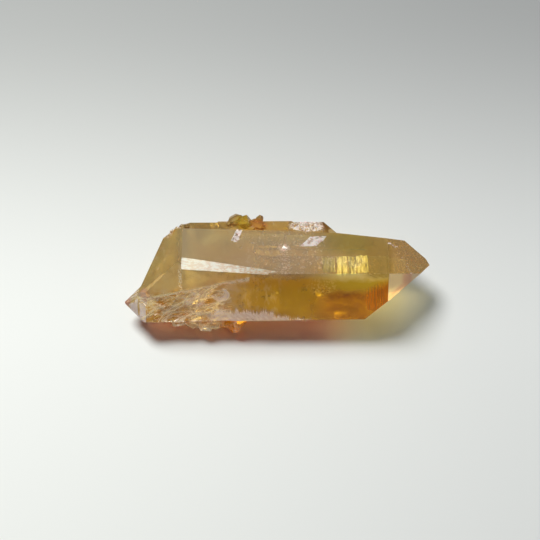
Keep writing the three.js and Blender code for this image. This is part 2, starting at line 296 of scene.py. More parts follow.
def blend(tree, mask, first, second, kind="MIX"):
    """Colour mix of first and second by a mask."""
    node = add(tree, "ShaderNodeMix", {"data_type": "RGBA", "blend_type": kind})
    for index, value in ((0, mask), (6, first), (7, second)):
        feed(tree, node.inputs[index], value)
    return node.outputs[2]


def axes(tree, vector):
    """The parts of a vector, by the names X, Y and Z."""
    return add(tree, "ShaderNodeSeparateXYZ", Vector=vector).outputs


def clouds(tree, spot, scale, detail, roughness=0.5):
    """Soft noise: one number as "Fac", and three as "Color"."""
    node = add(tree, "ShaderNodeTexNoise", Vector=spot, Scale=scale, Detail=detail, Roughness=roughness)
    return node.outputs


def new_group(name, inputs, outputs, kind="ShaderNodeTree"):
    """An empty node group. inputs and outputs map a socket's name to its kind or (kind, default)."""
    tree = bpy.data.node_groups.new(name, kind)
    for side, sockets in (("INPUT", inputs), ("OUTPUT", outputs)):
        for socket_name, given in sockets.items():
            socket_kind, default = given if isinstance(given, tuple) else (given, None)
            socket_type = f"NodeSocket{socket_kind}"
            socket = tree.interface.new_socket(socket_name, in_out=side, socket_type=socket_type)
            if default is not None:
                socket.default_value = default
    return tree, tree.nodes.new("NodeGroupInput").outputs, tree.nodes.new("NodeGroupOutput").inputs


def layout_group():
    """Object coordinates as layout mm, as (X, down, out) on the front and (X, back, up) on the top."""
    tree, _, out = new_group("crystal_layout", {}, {"Layout": "Vector", "Front": "Vector", "Top": "Vector"})
    spot = add(tree, "ShaderNodeTexCoord").outputs["Object"]
    spot = vectors(tree, "SCALE", spot, 1 / MM)
    spot = vectors(tree, "SUBTRACT", spot, SHIFT)
    tree.links.new(spot, out["Layout"])
    from_edge = vectors(tree, "SUBTRACT", spot, MIDDLE_EDGE)
    split = axes(tree, from_edge)
    down = vectors(tree, "DOT_PRODUCT", from_edge, FRONT_DOWN)
    outward = vectors(tree, "DOT_PRODUCT", from_edge, FRONT_OUT)
    front = add(tree, "ShaderNodeCombineXYZ", X=split["X"], Y=down, Z=outward)
    tree.links.new(front.outputs[0], out["Front"])
    left_of_middle = maths(tree, "MAXIMUM", maths(tree, "MULTIPLY", split["X"], -1.0), 0.0)
    rise = maths(tree, "MULTIPLY", left_of_middle, BROAD_TOP_SLOPE)
    up = maths(tree, "SUBTRACT", split["Z"], rise)
    top = add(tree, "ShaderNodeCombineXYZ", X=split["X"], Y=split["Y"], Z=up)
    tree.links.new(top.outputs[0], out["Top"])
    return tree


def zone_group():
    """A soft mask that is 1 inside an egg or a leaning block and 0 outside, with a ragged edge."""
    inputs = {
        "Place": "Vector",
        "Wobble": "Vector",
        "Middle": "Vector",
        "Reach": ("Vector", (1, 1, 1)),
        "Ragged": ("Float", 0.5),
        "Softness": ("Float", 0.3),
        "Blockiness": ("Float", 0.0),
        "Slant": ("Float", 0.0),
    }
    tree, given, out = new_group("zone", inputs, {"Mask": "Float"})
    moved = vectors(tree, "ADD", given["Place"], vectors(tree, "SCALE", given["Wobble"], given["Ragged"]))
    from_middle = vectors(tree, "SUBTRACT", moved, given["Middle"])
    across = axes(tree, from_middle)["Y"]
    lean = add(tree, "ShaderNodeCombineXYZ", X=maths(tree, "MULTIPLY", across, given["Slant"])).outputs[0]
    offset = vectors(tree, "DIVIDE", vectors(tree, "SUBTRACT", from_middle, lean), given["Reach"])
    split = axes(tree, vectors(tree, "ABSOLUTE", offset))
    furthest = maths(tree, "MAXIMUM", maths(tree, "MAXIMUM", split["X"], split["Y"]), split["Z"])
    away = add(tree, "ShaderNodeMix", {"data_type": "FLOAT"})
    for index, value in ((0, given["Blockiness"]), (2, vectors(tree, "LENGTH", offset)), (3, furthest)):
        feed(tree, away.inputs[index], value)
    inner = maths(tree, "SUBTRACT", 1.0, given["Softness"])
    outer = maths(tree, "ADD", 1.0, given["Softness"])
    tree.links.new(spread(tree, away.outputs[0], inner, outer, 1.0, 0.0), out["Mask"])
    return tree


def growth_lines_group():
    """Growth lines square to the crystal's length, as a height from 0 to 1."""
    inputs = {"Place": "Vector", "Spacing": ("Float", 0.6), "Waviness": ("Float", 0.3)}
    tree, given, out = new_group("growth_lines", inputs, {"Height": "Float"})
    stretched = vectors(tree, "MULTIPLY", given["Place"], (1.0, 0.05, 0.05))
    bend = clouds(tree, given["Place"], 0.25, 2.0)["Color"]
    spot = vectors(tree, "ADD", stretched, vectors(tree, "SCALE", bend, given["Waviness"]))
    rate = maths(tree, "DIVIDE", 1.0, given["Spacing"])
    tree.links.new(clouds(tree, spot, rate, 3.0, 0.65)["Fac"], out["Height"])
    return tree


def wisps_group():
    """Thin bright curls and threads, as in a frosted or healed surface."""
    inputs = {"Place": "Vector", "Size": ("Float", 3.0), "Thinness": ("Float", 0.08), "Swirl": ("Float", 1.5)}
    tree, given, out = new_group("wisps", inputs, {"Mask": "Float"})
    rate = maths(tree, "DIVIDE", 1.0, given["Size"])
    bend = clouds(tree, given["Place"], rate, 3.0)["Color"]
    turned = vectors(tree, "ADD", given["Place"], vectors(tree, "SCALE", bend, given["Swirl"]))
    field = clouds(tree, turned, rate, 5.0, 0.62)["Fac"]
    off_middle = maths(tree, "ABSOLUTE", maths(tree, "SUBTRACT", field, 0.5))
    tree.links.new(spread(tree, off_middle, 0.0, given["Thinness"], 1.0, 0.0), out["Mask"])
    return tree


def flakes_group():
    """Scattered angular flecks: some cells of a broken pattern."""
    inputs = {"Place": "Vector", "Size": ("Float", 0.6), "Share": ("Float", 0.2)}
    tree, given, out = new_group("flakes", inputs, {"Mask": "Float"})
    rate = maths(tree, "DIVIDE", 1.0, given["Size"])
    cells = add(tree, "ShaderNodeTexVoronoi", {"distance": "CHEBYCHEV"}, Vector=given["Place"], Scale=rate)
    draw = axes(tree, cells.outputs["Color"])["X"]
    chosen = maths(tree, "LESS_THAN", draw, given["Share"])
    near = spread(tree, cells.outputs["Distance"], 0.32, 0.46, 1.0, 0.0)
    tree.links.new(maths(tree, "MULTIPLY", chosen, near), out["Mask"])
    return tree


def shared_groups():
    return {
        "layout": layout_group(),
        "zone": zone_group(),
        "growth_lines": growth_lines_group(),
        "wisps": wisps_group(),
        "flakes": flakes_group(),
    }


class Painter:
    """Lays colour over colour in one material, on coordinates in mm that its zones share."""

    def __init__(self, tree, groups, ground):
        self.tree = tree
        self.groups = groups
        self.colour = ground
        self.spots = self.group("layout").outputs
        slow = clouds(tree, self.spots["Layout"], 0.45, 4.0, 0.6)["Color"]
        self.wobble = vectors(tree, "SUBTRACT", slow, (0.5, 0.5, 0.5))

    def group(self, name, **inputs):
        node = add(self.tree, "ShaderNodeGroup", {"node_tree": self.groups[name]})
        for socket, value in inputs.items():
            feed(self.tree, node.inputs[socket], value)
        return node

    def zone(self, face, middle, reach, ragged=1.0, soft=0.35, block=0.0, slant=0.0):
        """Mask of a zone in "Layout", "Front" or "Top" coordinates."""
        inputs = {"Place": self.spots[face], "Wobble": self.wobble, "Middle": middle, "Reach": reach}
        node = self.group("zone", **inputs, Ragged=ragged, Softness=soft, Blockiness=block, Slant=slant)
        return node.outputs["Mask"]

    def paint(self, shade, *masks):
        """Lays on a colour, given as it reads on screen, where all the masks are."""
        self.colour = blend(self.tree, self.both(*masks), self.colour, colour(*shade))

    def both(self, *masks):
        result = masks[0]
        for mask in masks[1:]:
            result = maths(self.tree, "MULTIPLY", result, mask)
        return result

    def either(self, *masks):
        result = masks[0]
        for mask in masks[1:]:
            result = maths(self.tree, "MAXIMUM", result, mask)
        return result

    def facing(self, direction, low=0.93, high=0.97):
        """1 on facets that face a direction."""
        normal = add(self.tree, "ShaderNodeNewGeometry").outputs["True Normal"]
        along = vectors(self.tree, "DOT_PRODUCT", normal, Vector(direction).normalized())
        return spread(self.tree, along, low, high)

    def cloud(self, size, low, high, detail=4.0, squash=(1, 1, 1)):
        spot = vectors(self.tree, "MULTIPLY", self.spots["Layout"], squash)
        return spread(self.tree, clouds(self.tree, spot, 1 / size, detail, 0.6)["Fac"], low, high)

    def away(self, middle, reach):
        """Distance from an oval's middle on the front face: 1 on the oval."""
        spot = vectors(self.tree, "ADD", self.spots["Front"], vectors(self.tree, "SCALE", self.wobble, 0.8))
        offset = vectors(self.tree, "SUBTRACT", spot, (*middle, 0))
        scaled = vectors(self.tree, "MULTIPLY", offset, (1 / reach[0], 1 / reach[1], 0))
        return vectors(self.tree, "LENGTH", scaled)

    def ring(self, away, radius, width):
        off_ring = maths(self.tree, "ABSOLUTE", maths(self.tree, "SUBTRACT", away, radius))
        return spread(self.tree, off_ring, 0.0, width, 1.0, 0.0)

    def along(self):
        """The place along the long crystal, in mm."""
        return axes(self.tree, self.spots["Layout"])["X"]

    def worn_and_glint(self):
        """1 on the blunted edges and the crests of the broken places, whose pale paint is partly wear and
        partly painted highlights.
        """
        return add(self.tree, "ShaderNodeAttribute", {"attribute_name": WORN_AND_GLINT}).outputs["Fac"]

    def wisps(self, place, size, thinness, swirl):
        inputs = {"Place": place, "Size": size, "Thinness": thinness, "Swirl": swirl}
        return self.group("wisps", **inputs).outputs["Mask"]

    def flakes(self, place, size, share):
        return self.group("flakes", Place=place, Size=size, Share=share).outputs["Mask"]

    def drawn_out(self, face, degrees, stretch):
        """Coordinates on a face turned by some degrees, so that a pattern on them is drawn out lengthwise."""
        turn = {"rotation_type": "Z_AXIS"}
        angle = math.radians(degrees)
        turned = add(self.tree, "ShaderNodeVectorRotate", turn, Vector=self.spots[face], Angle=angle)
        return vectors(self.tree, "MULTIPLY", turned.outputs[0], (1 / stretch, 1, 1))


# Quartz


def paint_body(painter):
    """The golden body: paler and greyer to the left and on top, amber in front."""
    paint = painter.paint
    cloud = painter.cloud
    tree = painter.tree
    x = painter.along()
    place = axes(tree, painter.spots["Front"])
    near_face = painter.both(spread(tree, place["Z"], -1.6, -1.1), spread(tree, place["Y"], 0.5, 1.0))
    scarred = painter.both(near_face, spread(tree, x, -5.0, -8.0))
    front = painter.either(painter.facing(FRONT_OUT, 0.8, 0.95), scarred)
    paint((196, 184, 140), spread(tree, x, -8.0, -30.0), 0.8)
    paint((206, 190, 160), cloud(7, 0.46, 0.62), 0.4)
    paint((186, 166, 92), painter.facing(LEFT_END_OUT), 0.75)
    paint((222, 178, 48), front, 0.9)
    paint((240, 216, 150), front, spread(tree, x, -4.0, -18.0), 0.85)
    paint((160, 128, 70), cloud(2.2, 0.5, 0.66), 0.35)
    paint((140, 112, 62), cloud(3.4, 0.5, 0.7, 7.0), 0.4)
    paint((232, 218, 178), cloud(1.3, 0.54, 0.68, 8.0, (1, 0.6, 0.6)), 0.3)
    return front


def paint_front(painter, front):
    """Deep amber to the middle, burnt orange to the right, a pale lens under the middle edge, and a painted
    highlight along the bottom edge.
    """
    paint = painter.paint
    cloud = painter.cloud
    zone = painter.zone
    paint((204, 164, 0), front, zone("Front", (4, 8.6, 0), (12, 7, 3), 2.6, 0.6), 0.9)
    paint((200, 130, 0), zone("Front", (21, 10.2, 0), (10.5, 6.5, 2), 2.2, 0.45))
    paint((226, 124, 0), zone("Front", (26, 6.6, 0), (3.2, 4.4, 1.5), 1.0, 0.3, 0.6))
    upright = cloud(0.26, 0.46, 0.58, 2.0, (1, 0.03, 0.03))
    paint((170, 88, 0), zone("Front", (24.5, 8.5, 0), (6, 6.5, 1.5), 1.6, 0.3, 0.6), upright, 0.7)
    lens = painter.both(zone("Front", (19, 0.4, 0), (9.2, 5, 2), 1.6, 0.28), front)
    paint((204, 176, 40), lens)
    paint((246, 230, 160), zone("Front", (20, -0.4, 0), (12, 2.2, 2), 2.2, 0.5), front, 0.9)
    ripples = painter.both(zone("Front", (11.6, 3.4, 0), (3.4, 2.6, 2), 1.2, 0.4), cloud(0.6, 0.5, 0.58))
    paint((250, 222, 120), ripples, 0.6)
    milky = painter.both(front, spread(painter.tree, painter.along(), 2.6, -1.0))
    paint((232, 202, 128), milky, cloud(1.1, 0.48, 0.62, 7.0, (1, 0.4, 0.4)), 0.55)
    streak = painter.both(zone("Front", (17.6, 6.6, 0), (5, 1.1, 1.5), 2.6, 0.5), cloud(0.6, 0.44, 0.56))
    paint((120, 44, 4), streak, 0.85)
    # A painted highlight: a thin pale line along the bottom edge of the front face.
    down = axes(painter.tree, painter.spots["Front"])["Y"]
    paint((250, 240, 204), front, spread(painter.tree, down, 14.2, 14.5), 0.7)


def paint_top(painter):
    """Milky to the left, with a clear grey-green window behind the inner break."""
    paint = painter.paint
    cloud = painter.cloud
    zone = painter.zone
    paint((150, 138, 78), zone("Top", (17.4, 8.8, 0), (7.6, 3.4, 1.5), 1.6, 0.4, 0.5))
    paint((176, 166, 134), zone("Top", (1, 6, 0), (11, 9, 1.5), 3, 0.6), 0.85)
    paint((166, 154, 110), zone("Top", (-20, 6, 0), (12, 9, 1.5), 1.4, 0.5), 0.8)
    paint((146, 126, 68), zone("Top", (26, 4, 0), (4, 8, 1.5), 1.2, 0.4), 0.8)
    middle = zone("Top", (3, 6, 0), (12, 8, 1.5), 2.0)
    paint((224, 220, 204), middle, cloud(0.8, 0.52, 0.66, 8.0), 0.4)
    paint((148, 126, 64), zone("Layout", (-17, 11, 18.4), (14, 2.2, 3), 0.6, 0.3), 0.7)
    rhombs = painter.either(
        zone("Top", (9.3, 9.6, 0), (2.1, 1.5, 0.8), 0.5, 0.05, 1.0, 0.9),
        zone("Top", (-10.3, 10.8, 0), (0.8, 1.8, 0.8), 0.4, 0.05, 1.0, 0.4),
        painter.both(zone("Layout", DRUSE, (4.6, 1.7, 1.3), 2.6, 0.25), cloud(0.55, 0.4, 0.5)),
    )
    facets = painter.flakes(painter.drawn_out("Top", 35, 2.2), 0.5, 0.45)
    paint((240, 246, 252), rhombs, 0.92)
    paint((166, 128, 112), rhombs, facets, 0.8)
    # sparkle is painted glints on the top face; speckled is its fine white specks.
    sparkle = painter.both(zone("Top", (1.5, 7.7, 0), (1.5, 1.2, 0.8), 1.2), cloud(0.35, 0.48, 0.56))
    speckled = painter.both(zone("Top", (1.8, 4.4, 0), (1.6, 5.4, 0.8), 2.0, 0.6), cloud(0.3, 0.55, 0.62))
    paint((250, 240, 226), painter.either(sparkle, speckled), 0.8)
    return rhombs


def paint_hidden_sides(painter):
    """The back and the underside, which the photograph doesn't show: growth lines, amber and frosting."""
    paint = painter.paint
    cloud = painter.cloud
    tree = painter.tree
    normal = add(tree, "ShaderNodeNewGeometry").outputs["True Normal"]
    split = axes(tree, normal)
    hidden = painter.either(spread(tree, split["Y"], 0.3, 0.6), spread(tree, split["Z"], -0.2, -0.4))
    prism = spread(tree, maths(tree, "ABSOLUTE", split["X"]), 0.3, 0.15)
    lines = painter.group("growth_lines", Place=painter.spots["Layout"], Spacing=0.8, Waviness=0.5)
    striated = painter.both(hidden, prism, spread(tree, lines.outputs["Height"], 0.5, 0.62))
    paint((214, 158, 60), hidden, cloud(6, 0.46, 0.6), 0.6)
    paint((150, 116, 52), hidden, cloud(1.2, 0.54, 0.66, 5.0, (1, 0.5, 0.5)), 0.4)
    paint((236, 218, 170), striated, 0.4)
    frost = painter.both(hidden, cloud(4, 0.52, 0.68, 9.0, (1, 0.5, 0.5)))
    paint((224, 208, 194), frost, 0.55)
    return hidden, striated, frost


def paint_small_crystals(painter):
    """The points at both ends, and the small crystals on the ridge and under the front edge."""
    paint = painter.paint
    cloud = painter.cloud
    zone = painter.zone
    tree = painter.tree
    x = painter.along()
    point_top = painter.both(painter.facing(POINT_TOP_OUT), spread(tree, x, 27.0, 33.0))
    paint((198, 170, 122), point_top)
    paint((240, 218, 180), point_top, cloud(0.5, 0.52, 0.64, 6.0), 0.6)
    point_front = painter.both(painter.facing(POINT_FRONT_OUT), spread(tree, x, 20.0, 28.0))
    paint((240, 226, 196), point_front)
    height = axes(tree, painter.spots["Layout"])["Z"]
    left_of_end = spread(tree, x, 35.6, 34.2)
    low_band = painter.both(spread(tree, height, 14.6, 13.2), left_of_end)
    column = painter.both(spread(tree, x, 31.6, 33.0), left_of_end)
    paint((208, 146, 132), point_front, painter.either(low_band, column), 0.75)
    paint((190, 104, 70), zone("Layout", (-39.4, -6.6, 7.2), (1.6, 1.6, 1.8), 0.5, 0.3), 0.8)
    stripes = cloud(0.3, 0.47, 0.53, 2.0, (0.05, 1, 0.05))
    paint((250, 244, 226), zone("Layout", (-37.4, -6.4, 8.8), (2.6, 3, 2.6), 0.5, 0.2), stripes, 0.85)
    paint((214, 168, 150), zone("Layout", (-33.9, -8.6, 13), (1.6, 2, 2), 0.9, 0.3), 0.7)
    paint((236, 158, 0), zone("Layout", (-10.8, -12.6, 4), (4.2, 2.6, 2.8), 0.3, 0.15))
    paint((186, 160, 52), zone("Layout", (-8.2, 10.6, 18), (2.6, 2, 2.4), 0.5, 0.3))
    paint((190, 124, 64), zone("Layout", (-5, 10.4, 17.4), (2.6, 1.4, 1.8), 0.5, 0.3), 0.8)
    paint((150, 110, 44), zone("Layout", (13.0, 10.8, 16.4), (1.9, 1.6, 1.8), 0.8, 0.4), 0.7)
    paint((250, 240, 176), zone("Layout", (15.0, 9.6, 15.4), (1.6, 1.0, 1.3), 0.5, 0.3), 0.8)


def frosted_fern(painter):
    """Lilac frosting along the bottom of the front face, feathered upwards into fine needles."""
    tree = painter.tree
    split = axes(tree, painter.spots["Front"])
    x, down = split["X"], split["Y"]
    combed = vectors(tree, "MULTIPLY", painter.spots["Front"], (1, 0.07, 0.07))
    needles = clouds(tree, combed, 0.6, 6.0, 0.75)["Fac"]
    rise = maths(tree, "MULTIPLY", maths(tree, "SUBTRACT", 0.5, needles), 9.0)
    to_right = maths(tree, "MAXIMUM", maths(tree, "ADD", x, 4.0), 0.0)
    edge = maths(tree, "ADD", maths(tree, "ADD", 10.6, rise), maths(tree, "MULTIPLY", to_right, 0.22))
    inside = spread(tree, maths(tree, "SUBTRACT", down, edge), 0.0, 1.8)
    left_end = spread(tree, x, -18.5, -16.0)
    right_end = spread(tree, x, 10.0, 7.0)
    low_end = spread(tree, down, 15.1, 14.8)
    return painter.both(inside, left_end, right_end, low_end, painter.facing(FRONT_OUT, 0.9, 0.96))


def shell_curl(painter, front):
    """The curl in the scars: a lilac crescent, thick at its lower right, and its white rings."""
    outer = painter.away(CURL, CURL_REACH)
    inner = painter.away(CURL - Vector((0.5, 0.4)), CURL_REACH * 0.74)
    crescent = painter.both(spread(painter.tree, outer, 1.06, 0.94), spread(painter.tree, inner, 0.85, 1.05))
    opening = spread(painter.tree, painter.away(CURL - Vector((2.0, 1.6)), CURL_REACH), 0.9, 1.3)
    rings = painter.either(painter.ring(outer, 1.0, 0.1), painter.ring(inner, 0.8, 0.12))
    return painter.both(crescent, front, opening), painter.both(rings, front, opening)


def frosted_places(painter, front):
    """Masks of the narrow facet and the painted reflection on it, the lilac frosting and the broken surfaces.
    """
    zone = painter.zone
    along_band = zone("Layout", (-12.4, -4, 21), (12.4, 5, 5), 1.4, 0.05, 1.0)
    band_facet = painter.both(painter.facing(BAND_OUT, 0.985, 0.994), along_band)
    # The white band on this facet is a painted reflection of the lamp in front, cut by gaps that grow towards
    # the right.
    gaps = painter.cloud(0.45, 0.44, 0.56, 6.0, (0.35, 1, 1))
    fading = spread(painter.tree, painter.along(), -23.0, -5.0, 0.55, 1.0)
    band_reflection = painter.both(band_facet, maths(painter.tree, "SUBTRACT", 1.0, painter.both(gaps, fading)))
    ripples = painter.cloud(0.8, 0.42, 0.56, 4.0, (0.4, 1, 1))
    patch = painter.both(zone("Front", (-21.5, 7.9, 0), (2.8, 2.3, 2.0), 3.4, 0.4), ripples)
    curl, rings = shell_curl(painter, front)
    small_point = zone("Layout", (-35.4, -11, 8), (4, 4, 4), 0, 0.1)
    small_facet = painter.both(painter.facing(SMALL_POINT_OUT), small_point)
    lilac = painter.either(frosted_fern(painter), patch, curl, small_facet)
    broken = painter.either(
        zone("Front", (-24, 11, 0), (12, 6, 2.2), 2.5, 0.25, 0.4),
        zone("Layout", SHOULDER, (3, 2.4, 2.4), 1.0, 0.3),
    )
    return band_facet, band_reflection, lilac, broken, rings


def milkiness(painter, front, broken):
    """Roughness of the clear faces: cloudy over the left of the top, nearly clear on the right."""
    top = painter.zone("Top", (-17, 5, 0), (15, 11, 1.5), 2.0, 0.35)
    return painter.either(
        painter.both(top, 0.3),
        painter.both(painter.facing(LEFT_END_OUT), 0.22),
        painter.both(painter.facing(POINT_FRONT_OUT), 0.32),
        painter.both(front, spread(painter.tree, broken, 0.0, 1.0, 0.2, 0.08)),
    )


def quartz_material(groups):
    material = bpy.data.materials.new("aura_quartz")
    material.use_nodes = True
    tree = material.node_tree
    surface = tree.nodes["Principled BSDF"]
    painter = Painter(tree, groups, colour(192, 162, 92))
    front = paint_body(painter)
    paint_front(painter, front)
    rhombs = paint_top(painter)
    hidden, striated, frost = paint_hidden_sides(painter)
    paint_small_crystals(painter)
    band_facet, band_reflection, lilac, broken, rings = frosted_places(painter, front)

    grain = painter.drawn_out("Front", 20, 3.2)
    streaks = painter.both(painter.wisps(grain, 1.5, 0.028, 1.0), broken)
    flecks = painter.both(painter.flakes(painter.spots["Layout"], 0.7, 0.05), broken)
    crease = painter.zone("Front", (-24.8, 1.6, 0), (0.5, 4.6, 1.5), 1.2)
    crease = painter.both(crease, painter.cloud(0.4, 0.46, 0.56))
    # Pale marks on edges, crests, the crease and the curl's rings: partly wear and frost, partly painted
    # highlights and glints.
    worn_and_glint = painter.either(painter.both(painter.worn_and_glint(), painter.cloud(0.8, 0.3, 0.5, 3.0)), crease, rings)
    painter.paint((206, 150, 30), broken, painter.cloud(1.4, 0.42, 0.54, 5.0, (0.5, 1, 1)), 0.85)
    painter.paint((222, 216, 218), lilac, 0.9)
    veined = painter.wisps(painter.drawn_out("Front", -38, 4.0), 1.2, 0.05, 0.4)
    painter.paint((255, 254, 250), lilac, veined, 0.9)
    # Painted pale: frosted streaks and flecks, and the edge and crest marks that are partly painted
    # highlights.
    painter.paint((255, 248, 214), painter.either(streaks, flecks, worn_and_glint), 0.95)
    # The narrow facet's own gold, and over it the painted white reflection of the lamp in front.
    painter.paint((186, 158, 84), band_facet)
    painter.paint((214, 226, 198), band_reflection)
    feed(tree, surface.inputs["Base Color"], painter.colour)

    roughness = painter.either(
        milkiness(painter, front, broken),
        painter.both(band_facet, 0.3),
        painter.both(painter.either(lilac, rhombs), 0.5),
        painter.both(painter.either(streaks, worn_and_glint), 0.4),
        painter.both(hidden, frost, 0.35),
        painter.both(hidden, 0.12),
    )
    feed(tree, surface.inputs["Roughness"], maths(tree, "MAXIMUM", roughness, 0.035))

    lines = painter.group("growth_lines", Place=painter.spots["Layout"], Spacing=0.7, Waviness=0.4)
    fine = clouds(tree, grain, 1.4, 5.0, 0.6)["Fac"]
    frayed = painter.both(fine, painter.either(broken, lilac, rhombs), 2.2)
    height = maths(tree, "ADD", maths(tree, "MULTIPLY", lines.outputs["Height"], 0.5), frayed)
    height = maths(tree, "ADD", height, striated)
    bump = add(tree, "ShaderNodeBump", Height=height, Strength=0.4, Distance=0.00008)
    feed(tree, surface.inputs["Normal"], bump.outputs["Normal"])

    surface.inputs["Transmission Weight"].default_value = 0.62
    surface.inputs["IOR"].default_value = QUARTZ_IOR
    surface.inputs["Coat Weight"].default_value = 0.25
    surface.inputs["Coat Roughness"].default_value = 0.06
    surface.inputs["Coat IOR"].default_value = 1.6
    let_lamps_through(tree, surface)
    volume = add(tree, "ShaderNodeVolumeAbsorption", Color=(0.95, 0.82, 0.2, 1), Density=36.0)
    tree.links.new(volume.outputs["Volume"], tree.nodes["Material Output"].inputs["Volume"])
    return material


def let_lamps_through(tree, surface):
    """Lamps shine into the crystal through its upper faces, and leave it dimmed and reddened below."""
    normal = add(tree, "ShaderNodeNewGeometry").outputs["True Normal"]
    upward = spread(tree, vectors(tree, "DOT_PRODUCT", normal, UP), -0.3, 0.2)
    spot = add(tree, "ShaderNodeTexCoord").outputs["Object"]
    x = axes(tree, spot)["X"]
    below = blend(tree, spread(tree, x, 2 * MM, 18 * MM), (0.2, 0.005, 0.0, 1), (0.56, 0.57, 0.5, 1))
    below = blend(tree, spread(tree, x, 20 * MM, 30 * MM), below, (0.4, 0.43, 0.46, 1))
    tint = blend(tree, upward, below, (0.94, 0.88, 0.74, 1))
    lit = add(tree, "ShaderNodeBsdfTransparent", Color=tint)
    path = add(tree, "ShaderNodeLightPath")
    mix = add(tree, "ShaderNodeMixShader", Fac=path.outputs["Is Shadow Ray"])
    tree.links.new(surface.outputs["BSDF"], mix.inputs[1])
    tree.links.new(lit.outputs["BSDF"], mix.inputs[2])
    tree.links.new(mix.outputs["Shader"], tree.nodes["Material Output"].inputs["Surface"])


# The cluster's mesh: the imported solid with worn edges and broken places


def scar_step(x):
    """How far down the front face the scars begin: at the step of the broad flake."""
    left_end = -24.8
    down_at_left_end = 5.4
    slope = 0.236
    return down_at_left_end - (x - left_end) * slope


def scar_weight(spot):
    """How broken the front face is: all of its lower left, up to the flake's step."""
    x, down, out = front_place(spot)
    left = -37.5
    right = -6
    deepest = -2.2
    margin = 0.6
    up_or_down = min(down - scar_step(x) + margin, FRONT_HEIGHT + margin - down)
    inside = min(up_or_down, x - left, right - x, (out - deepest) * 1.4)
    return ease(inside / 0.9)


def lump_weight(spot):
    """1 on the stones under the front edge, with a soft edge."""
    left = -30
    right = -6
    top = 8
    edge = on_front(0, FRONT_HEIGHT)
    proud = (spot - edge).dot(LOW_FRONT_OUT)
    inside = min(proud, spot.x - left, right - spot.x, top - spot.z)
    return ease(inside / 0.5)


def near(spot, middle, reach):
    """1 inside an egg around middle, with a soft edge."""
    away = Vector((a - b) / c for a, b, c in zip(spot, middle, reach))
    return ease(2 * (1 - away.length))


def shoulder_weight(spot):
    return near(spot, SHOULDER, (4, 3, 2.6))


def druse_weight(spot):
    return near(spot, DRUSE, (5.4, 2, 1.6))


def make_chips(seed, count):
    """Shell-shaped chips over the scarred face, most of them pointing up to the right."""
    draw = random.Random(seed)
    chips = []
    for _ in range(count):
        length = draw.uniform(2.4, 7.5)
        chip = {
            "x": draw.uniform(-36, -12),
            "down": draw.uniform(5, 15),
            "length": length,
            "width": length * draw.uniform(0.18, 0.42),
            "depth": 0.1 + 0.06 * length * draw.uniform(0.5, 1),
            "turn": math.radians(draw.gauss(-24, 9)),
        }
        chips.append(chip)
    return chips


CHIPS = make_chips(11, 30)


def curl_rim(x, down):
    """1 on the rings of the curl, which are open to the upper left."""
    rim_width = 0.3
    rim = 0
    if x - CURL.x + down - CURL.y < -1:
        return rim
    for size in (1, 0.6):
        dx = (x - CURL.x - 0.4 * (1 - size)) / (CURL_REACH.x * size)
        dy = (down - CURL.y - 0.3 * (1 - size)) / (CURL_REACH.y * size)
        rim = max(rim, 1 - abs(math.hypot(dx, dy) - 1) * CURL_REACH.y * size / rim_width)
    return rim


def step_rim(x, down):
    """1 along the flake's bright step, which widens to a wedge at its right end."""
    width = 0.34 + 0.7 * ease((x + 13) / 5)
    line = 1.3 - abs(down - scar_step(x) - 0.3) / width
    return line * ease((-6.8 - x) / 0.5) * (0.9 + 0.8 * noise.noise(Vector((x * 0.9, 0, 3))))


def chipped(spot):
    """Depth in mm of the deepest chip at a point, and how near the point is to a chip's sharp rim."""
    x, down, _ = front_place(spot)
    rim_width = 0.22
    deepest = 0
    chip_rim = 0
    for chip in CHIPS:
        dx = x - chip["x"]
        dy = down - chip["down"]
        if abs(dx) > chip["length"] or abs(dy) > chip["length"]:
            continue
        along = (dx * math.cos(chip["turn"]) + dy * math.sin(chip["turn"])) / chip["length"]
        across = (dy * math.cos(chip["turn"]) - dx * math.sin(chip["turn"])) / chip["width"]
        away = math.hypot(along, across)
        if away < 1:
            ripple = 0.03 * math.sin(7 * away * chip["width"]) * away
            deepest = max(deepest, chip["depth"] * (1 - away**1.7) + ripple)
        if across < 0:
            chip_rim = max(chip_rim, 1 - abs(away - 1) * chip["width"] / rim_width)
    grain = noise.fractal(spot * 0.6, 0.9, 2.1, 3)
    fading = ease((-10 - x) / 4)
    rim = max(fading * chip_rim, curl_rim(x, down), step_rim(x, down))
    return max(0, fading * deepest + 0.05 * (1 + grain)), ease(rim)


def sugary(spot):
    """The same for a rough break: sharp crests with small hollows between them."""
    hollow = abs(noise.fractal(spot * 0.6, 0.8, 2.2, 4))
    return 0.5 * hollow, ease(1 - hollow / 0.12)


def lumpy(spot):
    """The same for the stones under the front edge, which are smoother."""
    hollow = abs(noise.fractal(spot * 0.4, 1.1, 2.0, 3))
    return 0.22 * hollow, 0.7 * ease(1 - hollow / 0.06)


def refine(work, weight, longest):
    """Splits edges until those that touch the weighted region are shorter than longest, in mm."""
    most_rounds = 12
    for _ in range(most_rounds):
        inside = {vertex for vertex in work.verts if weight(vertex.co / MM - SHIFT) > 0}
        edges = []
        for edge in work.edges:
            first, second = edge.verts
            if edge.calc_length() < longest * MM:
                continue
            middle = (first.co + second.co) / 2 / MM - SHIFT
            if first in inside or second in inside or weight(middle) > 0:
                edges.append(edge)
        if not edges:
            return
        bmesh.ops.subdivide_edges(work, edges=edges, cuts=1, use_grid_fill=False)
        bmesh.ops.triangulate(work, faces=[face for face in work.faces if len(face.verts) > 3])


